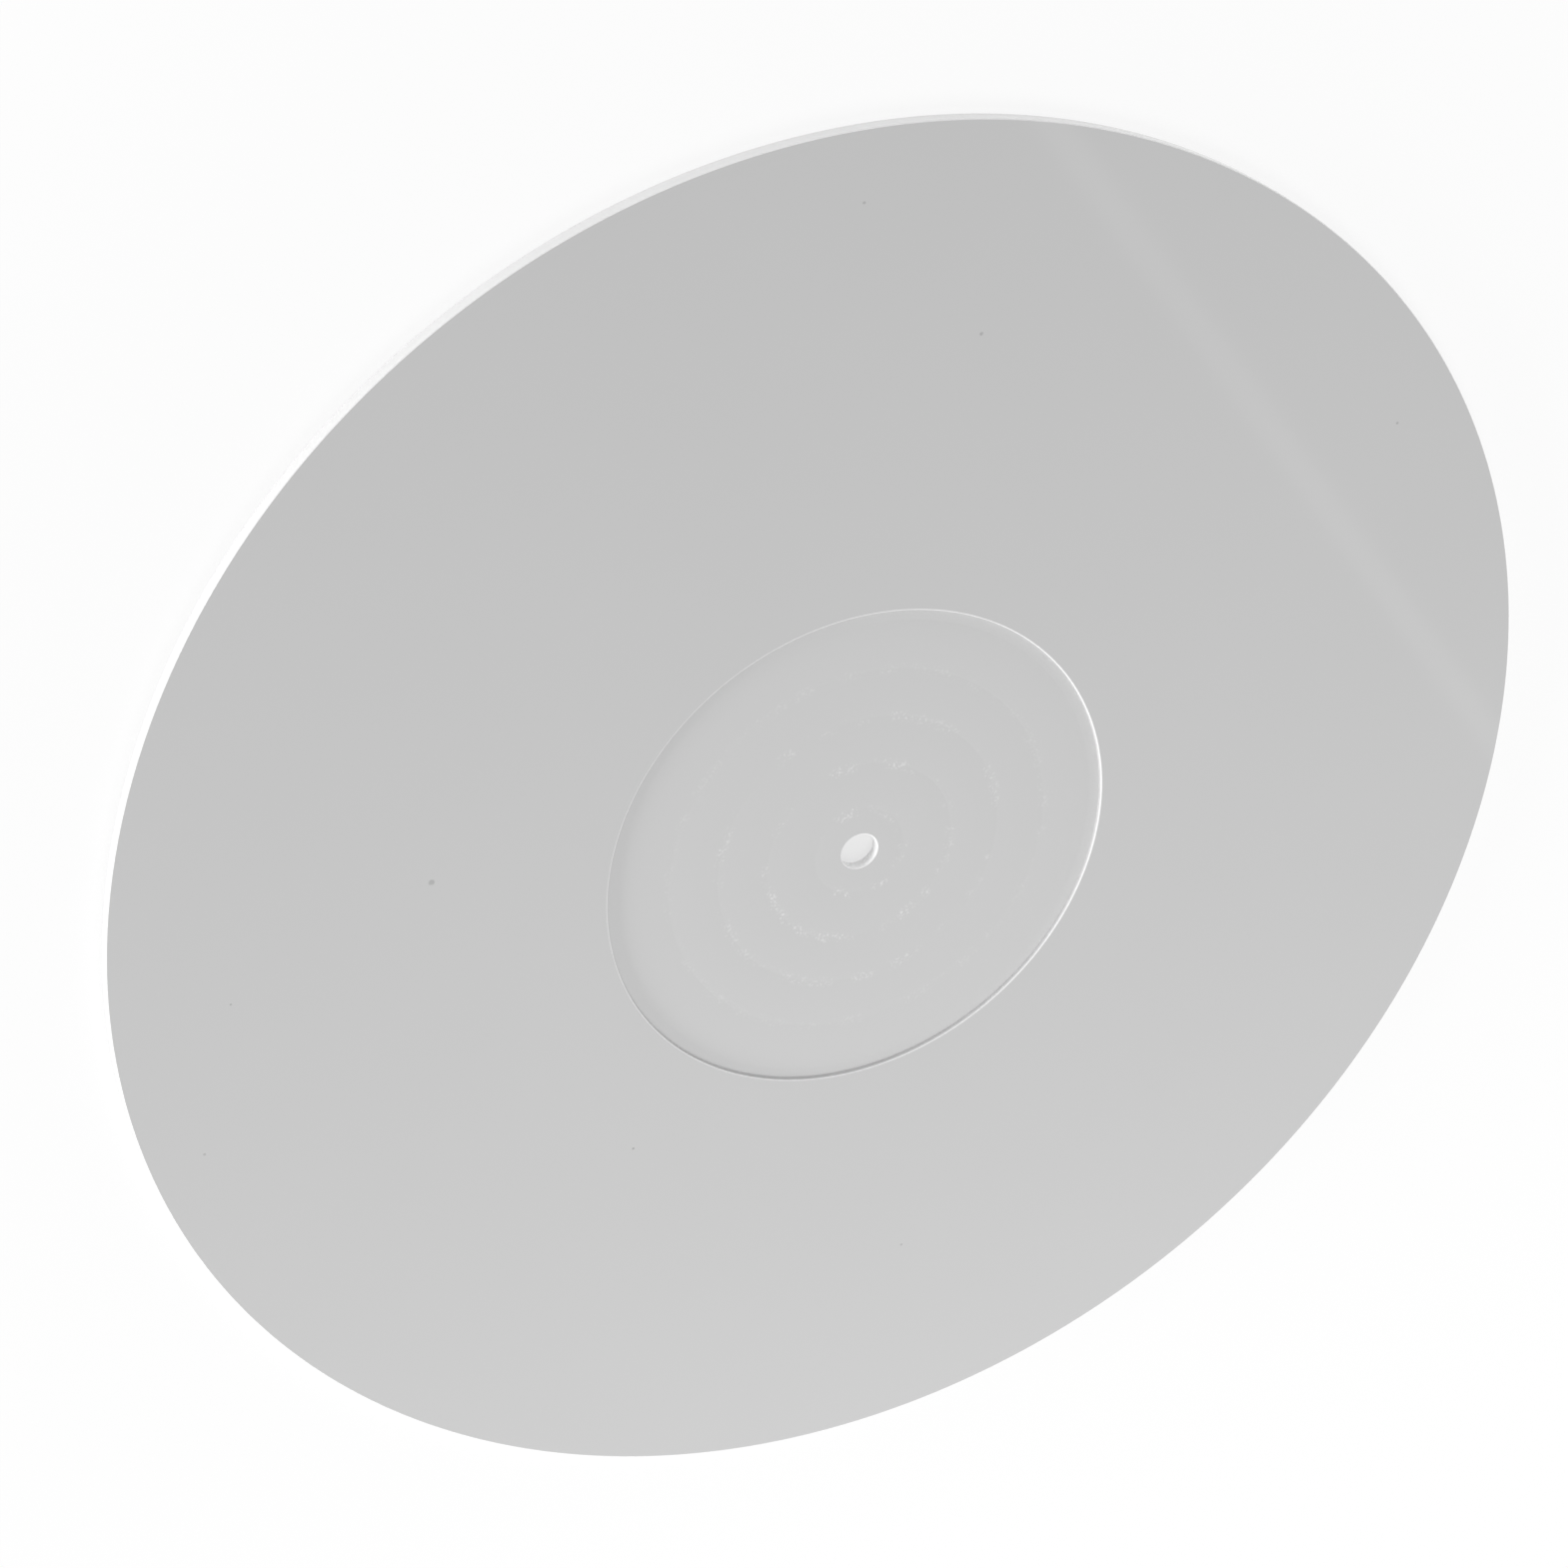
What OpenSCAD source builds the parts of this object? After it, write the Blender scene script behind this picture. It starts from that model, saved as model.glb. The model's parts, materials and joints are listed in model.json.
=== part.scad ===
// Turntable mat: one flat disc of white acrylic sheet, with a shallow recess
// for the record's label and a hole for the spindle. It lies on the platter,
// and the record lies on it. Millimetres, +Z up, origin on the spindle's axis
// at the underside.

/* [Disc] */
// Outside diameter of the disc
mat_d = 295; // [180:0.5:310]
// Thickness of the acrylic sheet
sheet_t = 3; // [2:0.25:8]
// Radius of the polished round on the top edge of the rim
rim_round = 0.15; // [0.1:0.05:1]
// Width of the bevel on the bottom edge of the rim
rim_bevel = 0.3; // [0.05:0.05:0.9]

/* [Label recess] */
// Diameter of the record's label
label_d = 100; // [60:0.5:110]
// Clearance from the label's edge to the recess wall
label_clearance = 2.5; // [0.5:0.1:10]
// Depth of the recess below the top face
recess_depth = 0.7; // [0.55:0.05:1.4]
// Width of the bevel on the top edge of the recess wall
recess_bevel = 0.2; // [0.05:0.05:0.25]
// Radius that the cutter leaves where the wall meets the recess floor
recess_corner = 0.15; // [0.05:0.05:0.25]

/* [Spindle hole] */
// Diameter of the turntable's spindle
spindle_d = 7.2; // [6:0.05:8]
// Clearance all round the spindle
spindle_clearance = 0.2; // [0.05:0.01:0.5]
// Width of the bevel on both edges of the hole
hole_bevel = 0.2; // [0.05:0.05:0.3]

/* [Hidden] */
$fn = 180;
// Height of the recess floor above the underside
floor_z = sheet_t - recess_depth;
rim_r = mat_d / 2;
recess_r = label_d / 2 + label_clearance;
hole_r = spindle_d / 2 + spindle_clearance;
// How far each cut runs on past the face that it breaks through
overshoot = 1;

// What lies outside a quarter circle of radius r around the origin, towards
// +X and +Y: taken away from a square corner, it leaves the corner round.
module corner_waste(r) {
    difference() {
        square(r + overshoot);
        circle(r);
    }
}

// What a 45 degree bevel of width w takes from a corner at the origin whose
// material lies towards +X and -Y.
module bevel_waste(w) {
    polygon([
        [0, -w],
        [w + overshoot, overshoot],
        [0, overshoot]
    ]);
}

// Half section of the label recess, with the cutter's round at its foot
module recess_section() {
    difference() {
        translate([0, floor_z])
            square([recess_r, recess_depth + overshoot]);
        translate([recess_r - recess_corner, floor_z + recess_corner])
            mirror([0, 1])
                corner_waste(recess_corner);
    }
}

// Half section of the whole disc, from the hole's wall out to the rim
module disc_section() {
    difference() {
        translate([hole_r, 0])
            square([rim_r - hole_r, sheet_t]);
        recess_section();
        translate([recess_r, sheet_t])
            bevel_waste(recess_bevel);
        translate([hole_r, floor_z])
            bevel_waste(hole_bevel);
        translate([hole_r, 0])
            mirror([0, 1])
                bevel_waste(hole_bevel);
        translate([rim_r - rim_round, sheet_t - rim_round])
            corner_waste(rim_round);
        translate([rim_r, 0])
            mirror([1, 0])
                mirror([0, 1])
                    bevel_waste(rim_bevel);
    }
}

module mat() {
    color("gainsboro")
        rotate_extrude()
            disc_section();
}

mat();
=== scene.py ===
import bmesh
import bpy
import json
from math import cos, hypot, pi, radians, sin
from mathutils import Matrix, Vector


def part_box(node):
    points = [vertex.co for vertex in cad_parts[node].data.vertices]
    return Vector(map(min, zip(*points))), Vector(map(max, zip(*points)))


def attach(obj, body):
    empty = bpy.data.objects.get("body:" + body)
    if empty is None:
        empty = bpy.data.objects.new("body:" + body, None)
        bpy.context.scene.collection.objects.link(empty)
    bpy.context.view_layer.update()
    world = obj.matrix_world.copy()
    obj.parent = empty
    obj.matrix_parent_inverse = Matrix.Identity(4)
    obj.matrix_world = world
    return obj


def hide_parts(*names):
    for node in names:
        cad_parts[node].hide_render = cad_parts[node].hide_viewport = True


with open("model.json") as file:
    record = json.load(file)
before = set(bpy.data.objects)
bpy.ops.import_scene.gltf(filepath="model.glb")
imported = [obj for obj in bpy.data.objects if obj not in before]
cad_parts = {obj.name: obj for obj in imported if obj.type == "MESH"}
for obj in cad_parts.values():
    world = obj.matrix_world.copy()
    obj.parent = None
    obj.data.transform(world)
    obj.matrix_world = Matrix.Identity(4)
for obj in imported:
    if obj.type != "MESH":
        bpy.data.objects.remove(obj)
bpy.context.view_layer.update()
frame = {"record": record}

# The disc
# One round plate cut from 3 mm cast acrylic sheet. A cutter has sunk the label
# recess into its top and drilled the spindle hole. All its edges are just
# broken, with a fine round at the top of the rim and bevels elsewhere.
MM = 0.001
low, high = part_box("mat")
mounts = {mount["name"]: mount for mount in frame["record"]["mounts"]}
sheet_t = high.z - low.z
rim_r = min(high.x, high.y, -low.x, -low.y)
rim_round = 0.15 * MM
rim_bevel = 0.3 * MM
recess_r = 52.5 * MM
recess_depth = 0.7 * MM
recess_bevel = 0.2 * MM
recess_corner = 0.15 * MM
floor_z = sheet_t - recess_depth
hole_r = mounts["spindle_hole"]["dims"]["r_mm"] * MM
hole_bevel = 0.2 * MM
rim_sides = 720
facet_angle = radians(2)

# The cutter went round the recess in rings, and left a fine groove wherever
# one ring met the next.
ring_first_r = 9.4 * MM
ring_pitch = 10.2 * MM
ring_count = 5
groove_w = 0.5 * MM
groove_depth = 0.007 * MM

# two places closer than this are the same place
NEAR = 0.01 * MM


def radius_of(point):
    return hypot(point.x, point.y)


def select_where(kind, test):
    """In edit mode, selects only the faces, edges or verts whose every corner passes the test."""
    bpy.ops.mesh.select_all(action="DESELECT")
    bpy.ops.mesh.select_mode(type={"faces": "FACE", "edges": "EDGE", "verts": "VERT"}[kind])
    shape = bmesh.from_edit_mesh(bpy.context.object.data)
    for part in getattr(shape, kind):
        corners = [part] if kind == "verts" else part.verts
        if all(test(corner.co) for corner in corners):
            part.select_set(True)
    shape.select_flush_mode()
    bmesh.update_edit_mesh(bpy.context.object.data)


def select_ring(kind, ring_r, z):
    """Selects what lies on the circle of that radius at that height."""
    select_where(kind, lambda co: abs(radius_of(co) - ring_r) < NEAR and abs(co.z - z) < NEAR)


bpy.ops.object.select_all(action="DESELECT")
bpy.ops.mesh.primitive_cylinder_add(
    vertices=rim_sides, radius=rim_r, depth=sheet_t, end_fill_type="NGON", location=(0, 0, sheet_t / 2))
disc = bpy.context.object
disc.name = disc.data.name = "acrylic_disc"
bpy.ops.object.transform_apply(location=True, rotation=False, scale=False)
bpy.ops.object.mode_set(mode="EDIT")

# the recess, sunk from the top face, with the loops of the grooves on its floor
select_where("faces", lambda co: co.z > sheet_t - NEAR)
bpy.ops.mesh.inset(thickness=rim_r - recess_r)
bpy.ops.mesh.extrude_region_move(TRANSFORM_OT_translate={"value": (0, 0, -recess_depth)})
loop_r = recess_r
for ring in reversed(range(ring_count)):
    ring_r = ring_first_r + ring * ring_pitch
    for next_r in (ring_r + groove_w / 2, ring_r, ring_r - groove_w / 2):
        bpy.ops.mesh.inset(thickness=loop_r - next_r)
        loop_r = next_r

# the hole, cut from both faces and joined by its wall
bpy.ops.mesh.inset(thickness=loop_r - hole_r)
bpy.ops.mesh.delete(type="ONLY_FACE")
select_where("faces", lambda co: co.z < NEAR)
bpy.ops.mesh.inset(thickness=rim_r - hole_r)
bpy.ops.mesh.delete(type="ONLY_FACE")
select_where("edges", lambda co: abs(radius_of(co) - hole_r) < NEAR)
bpy.ops.mesh.bridge_edge_loops()
for ring in range(ring_count):
    select_ring("verts", ring_first_r + ring * ring_pitch, floor_z)
    bpy.ops.transform.translate(value=(0, 0, -groove_depth))

# the broken edges
for edge_r, edge_z, width, segments in (
        (rim_r, sheet_t, rim_round, 4), (rim_r, 0, rim_bevel, 2),
        (recess_r, sheet_t, recess_bevel, 3), (recess_r, floor_z, recess_corner, 4),
        (hole_r, floor_z, hole_bevel, 2), (hole_r, 0, hole_bevel, 2)):
    select_ring("edges", edge_r, edge_z)
    bpy.ops.mesh.bevel(offset=width, offset_type="OFFSET", segments=segments, affect="EDGES")
bpy.ops.mesh.select_all(action="SELECT")
bpy.ops.mesh.normals_make_consistent(inside=False)
bpy.ops.object.mode_set(mode="OBJECT")

# smooth round the axis, and crisp where one face meets the next
bpy.ops.object.shade_smooth_by_angle(angle=facet_angle)


# The acrylic
# White all through. The faces keep the sheet's polish, and the cutter left the
# recess satin, with its rings. The cut edges of the rim and the hole carry
# painted light: their colour is painted far paler than the sheet's, a painted
# glow for light that went in through the faces and comes out there, which also
# paints out the shade on the hole's wall.
class Socket:
    """One output of a shader node. Sums on it add Math nodes."""

    def __init__(self, socket):
        self.socket = socket

    def node(self, kind, settings, inputs, output=0):
        """Adds a node of this kind, sets it, then fills its inputs with values or links."""
        made = self.socket.id_data.nodes.new(kind)
        for name, value in settings.items():
            setattr(made, name, value)
        for name, value in inputs.items():
            if isinstance(value, Socket):
                made.id_data.links.new(value.socket, made.inputs[name])
            else:
                made.inputs[name].default_value = value
        return Socket(made.outputs[output])

    def math(self, operation, other):
        return self.node("ShaderNodeMath", {"operation": operation}, {0: self, 1: other})

    def __add__(self, other):
        return self.math("ADD", other)

    def __sub__(self, other):
        return self.math("SUBTRACT", other)

    def __mul__(self, other):
        return self.math("MULTIPLY", other)

    def __rsub__(self, other):
        return self.node("ShaderNodeMath", {"operation": "SUBTRACT"}, {0: other, 1: self})

    __radd__ = __add__
    __rmul__ = __mul__

    def noise(self, size, detail=2.0):
        """Noise from 0 to 1 whose patches are about that size."""
        return self.node("ShaderNodeTexNoise", {}, {"Vector": self, "Scale": 1 / size, "Detail": detail})

    def fade(self, start, end):
        """1 at start, falling smoothly to 0 at end."""
        return self.node("ShaderNodeMapRange", {"interpolation_type": "SMOOTHSTEP"}, {
            "Value": self, "From Min": start, "From Max": end, "To Min": 1.0, "To Max": 0.0})

    def distance(self, other):
        return self.node("ShaderNodeVectorMath", {"operation": "DISTANCE"}, {0: self, 1: other}, "Value")

    def grey(self):
        return self.node("ShaderNodeCombineColor", {}, {"Red": self, "Green": self, "Blue": self})

    def bump(self, depth, strength):
        heights = {"Height": self, "Distance": depth, "Strength": strength}
        return self.node("ShaderNodeBump", {}, heights, "Normal")

    def feed(self, shader, name):
        shader.id_data.links.new(self.socket, shader.inputs[name])


def acrylic(name, white, roughness):
    """A material of the sheet's acrylic. Returns it, its shader and its Object coordinates."""
    material = bpy.data.materials.new(name)
    material.use_nodes = True
    shader = material.node_tree.nodes["Principled BSDF"]
    shader.inputs["Base Color"].default_value = (white, white, white, 1)
    shader.inputs["Roughness"].default_value = roughness
    shader.inputs["IOR"].default_value = 1.49
    place = Socket(material.node_tree.nodes.new("ShaderNodeTexCoord").outputs["Object"])
    return material, shader, place


sheet_white = 0.6
polish_roughness = 0.035
polished, shader, place = acrylic("polished_acrylic", sheet_white, polish_roughness)
# dust on the polish: each speck's place on the top face and its radius, in mm
dust = ((64.0, -60.2, 0.8), (129.4, -45.1, 0.4), (-75.6, -76.7, 0.5), (45.6, 91.1, 0.4),
        (71.8, 21.7, 0.4), (-133.4, 2.2, 0.4), (-71.3, -113.6, 0.4), (105.6, -67.7, 0.3))
dust_shade = 0.45
dust_roughness = 0.4
ragged = 0.5 + 0.5 * place.noise(0.5 * MM).fade(0.7, 0.4)
clean = 1
for x, y, size in dust:
    speck = place.distance((x * MM, y * MM, sheet_t)).fade(0.3 * size * MM, size * MM)
    clean = clean * (1 - speck * ragged)
dusty = 1 - clean
cloud = place.noise(45 * MM, 3.0)
cloud_contrast = 0.012
smears = place.noise(28 * MM, 4.0)
smear_roughness = 0.03
waves = place.noise(18 * MM, 1.0)
white = sheet_white + cloud_contrast * (cloud - 0.5)
(white * (1 - dust_shade * dusty)).grey().feed(shader, "Base Color")
(polish_roughness + smear_roughness * smears + dust_roughness * dusty).feed(shader, "Roughness")
waves.bump(0.02 * MM, 0.15).feed(shader, "Normal")

# the recess: feed lines all over its floor, pecks along the grooves, fewer further out, and a painted
# highlight on its lip
milled_white = 0.62
lip_highlight_white = 0.88
milled_roughness = 0.4
milled, shader, place = acrylic("milled_acrylic", milled_white, milled_roughness)
on_floor = place.node("ShaderNodeVectorMath", {"operation": "MULTIPLY"}, {0: place, 1: (1, 1, 0)})
from_axis = on_floor.distance((0, 0, 0))
along_radius = from_axis.node("ShaderNodeCombineXYZ", {}, {"X": from_axis})
feed_lines = along_radius.noise(0.7 * MM, 3.0)
feed_contrast = 0.006
feed_roughness = 0.1
chatter = place.noise(2.2 * MM)
chatter_roughness = 0.06
from_groove = (from_axis - ring_first_r).math("PINGPONG", ring_pitch / 2)
broken = place.noise(5 * MM, 1.0).fade(0.4, 0.55)
pecks = place.noise(0.5 * MM).fade(0.68, 0.52)
worn = from_axis.fade(15 * MM, 55 * MM)
scuffs = from_groove.fade(0.5 * MM, 1.5 * MM) * broken * pecks * worn
scuff_contrast = 0.15
# painted highlight: the bevel at the recess's lip is painted paler than the floor, in place of the light
# that it catches
height = place.node("ShaderNodeSeparateXYZ", {}, {"Vector": place}, "Z")
painted_lip_highlight = height.fade(sheet_t - recess_bevel, sheet_t - 2 * recess_bevel)
white = milled_white + feed_contrast * (feed_lines - 0.5) + scuff_contrast * scuffs
(white + (lip_highlight_white - milled_white) * painted_lip_highlight).grey().feed(shader, "Base Color")
roughness = milled_roughness + feed_roughness * feed_lines + chatter_roughness * chatter
roughness.feed(shader, "Roughness")
relief = feed_lines * (0.6 + 0.8 * chatter) + 2 * scuffs
relief.bump(0.02 * MM, 0.4).feed(shader, "Normal")

# the cut edges: fine strokes that run round them, on a painted glow, with their white set far paler than the
# sheet's
# painted light: this white stands in for light leaving through the cut edges, not for a paler plastic
edge_white_painted_glow = 0.94
edge_roughness = 0.1
cut_edge, shader, place = acrylic("cut_acrylic_edge", edge_white_painted_glow, edge_roughness)
flattened = place.node("ShaderNodeMapping", {}, {"Vector": place, "Scale": (1, 1, 12)})
strokes = flattened.noise(6 * MM)
stroke_contrast = 0.02
stroke_roughness = 0.1
(edge_white_painted_glow + stroke_contrast * (strokes - 0.5)).grey().feed(shader, "Base Color")
(edge_roughness + stroke_roughness * strokes).feed(shader, "Roughness")

finishes = [polished, milled, cut_edge]
for finish in finishes:
    disc.data.materials.append(finish)
for face in disc.data.polygons:
    middle = face.center
    above = middle.z > NEAR
    at_rim = above and radius_of(middle) > rim_r - rim_bevel
    in_hole = radius_of(middle) < hole_r + hole_bevel and middle.z < floor_z - NEAR
    in_recess = above and radius_of(middle) < recess_r + recess_bevel and middle.z < sheet_t - NEAR
    finish = cut_edge if at_rim or in_hole else milled if in_recess else polished
    face.material_index = finishes.index(finish)
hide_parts("mat")
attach(disc, "root")


# The floor
# A wide white sheet under the disc. The camera and the gloss see it nearly
# white, and darker only beside the disc and under it, where the disc takes
# some of its light.
def seen_directly(tree):
    """1 for rays from the camera or by way of gloss or glass, and 0 for those that light a surface."""
    rays = tree.nodes.new("ShaderNodeLightPath").outputs
    reflected = Socket(rays["Is Glossy Ray"]).math("MAXIMUM", Socket(rays["Is Transmission Ray"]))
    return reflected.math("MAXIMUM", Socket(rays["Is Camera Ray"]))


floor_side = 12.0
paper_white = (0.96, 0.96, 0.96, 1)
shade_beside_disc = 0.15
shade_under_disc = 0.2
bpy.ops.object.select_all(action="DESELECT")
bpy.ops.mesh.primitive_plane_add(size=floor_side, location=(0, 0, 0))
floor = bpy.context.object
floor.name = "floor"
paper = bpy.data.materials.new("white_paper")
paper.use_nodes = True
paper.node_tree.nodes.clear()
seen = seen_directly(paper.node_tree)
matt = seen.node("ShaderNodeBsdfDiffuse", {}, {"Color": paper_white})
off_axis = Socket(paper.node_tree.nodes.new("ShaderNodeTexCoord").outputs["Object"]).distance((0, 0, 0))
beside_disc = off_axis.fade(rim_r, 2.2 * rim_r)
under_disc = off_axis.fade(5 * hole_r, rim_r / 2)
glow = seen.node("ShaderNodeEmission", {}, {"Color": (1 - shade_under_disc * under_disc).grey()})
glowing = seen * (1 - shade_beside_disc * beside_disc)
shown = seen.node("ShaderNodeMixShader", {}, {0: glowing, 1: matt, 2: glow})
shown.feed(paper.node_tree.nodes.new("ShaderNodeOutputMaterial"), "Surface")
floor.data.materials.append(paper)

# The camera
# It stands where the photograph's did, by a fit to the outlines of the face,
# the recess and the hole: in front of the disc, looking down at it, and rolled,
# so that the near rim shows at the picture's upper left.
camera_distance = 646.8 * MM
camera_elevation = radians(51.03)
camera_roll = radians(140.54)
aim = Vector((3.0, -15.4, -12.5)) * MM + Vector((0, 0, sheet_t))
bpy.ops.object.camera_add()
camera = bpy.context.object
camera.name = "photograph"
tilt = Matrix.Rotation(pi / 2 - camera_elevation, 3, "X")
camera.rotation_euler = (tilt @ Matrix.Rotation(camera_roll, 3, "Z")).to_euler()
camera.location = aim + camera_distance * Vector((0, -cos(camera_elevation), sin(camera_elevation)))
camera.data.sensor_width = 36
camera.data.lens = 76.7
camera.data.clip_start = 0.01
camera.data.clip_end = 50
bpy.context.scene.camera = camera


# The light
# A white tent all round, and a soft light overhead. A wide low softbox on the
# picture's left lights the recess wall across from it and shades the near one,
# and a weaker one at the picture's top whitens the rim there.
def area_lamp(name, location, width, height):
    bpy.ops.object.light_add(type="AREA", location=location)
    lamp = bpy.context.object
    lamp.name = name
    lamp.data.shape = "RECTANGLE"
    lamp.data.size = width
    lamp.data.size_y = height
    return lamp


def softbox(name, toward, elevation, distance, width, height, level):
    """A lamp aimed at the disc's middle, which alone would light a white surface facing it to that level."""
    direction = Vector((cos(elevation) * cos(toward), cos(elevation) * sin(toward), sin(elevation)))
    lamp = area_lamp(name, direction * distance, width, height)
    lamp.rotation_euler = direction.to_track_quat("Z", "Y").to_euler()
    lamp.data.energy = level * (pi * distance) ** 2
    return lamp


softbox("low_softbox", toward=radians(-22), elevation=radians(7.7), distance=2.2,
        width=3.0, height=0.4, level=0.82)
softbox("fill_softbox", toward=radians(-140), elevation=radians(7.7), distance=2.2,
        width=3.0, height=0.4, level=0.15)
overhead = softbox("overhead_softbox", toward=radians(58), elevation=radians(53), distance=0.88,
                   width=0.5, height=0.5, level=0.45)
overhead.visible_glossy = False

# a thin tube behind the disc, half as bright as white, which the polish reflects as a faint straight streak
tube_w = 0.015
tube_length = 0.9
tube_brightness = 0.5
tube = area_lamp("tube_light", (-0.32, 0.74, 0.886), tube_w, tube_length)
tube.rotation_euler.z = radians(3.5)
tube.data.energy = tube_brightness * pi * tube_w * tube_length

tent_light = 0.494
tent = bpy.data.worlds.new("white_tent")
bpy.context.scene.world = tent
tent.use_nodes = True
background = tent.node_tree.nodes["Background"]
background.inputs["Color"].default_value = (1, 1, 1, 1)
(tent_light + (1 - tent_light) * seen_directly(tent.node_tree)).feed(background, "Strength")

bpy.context.scene.view_settings.view_transform = "Standard"
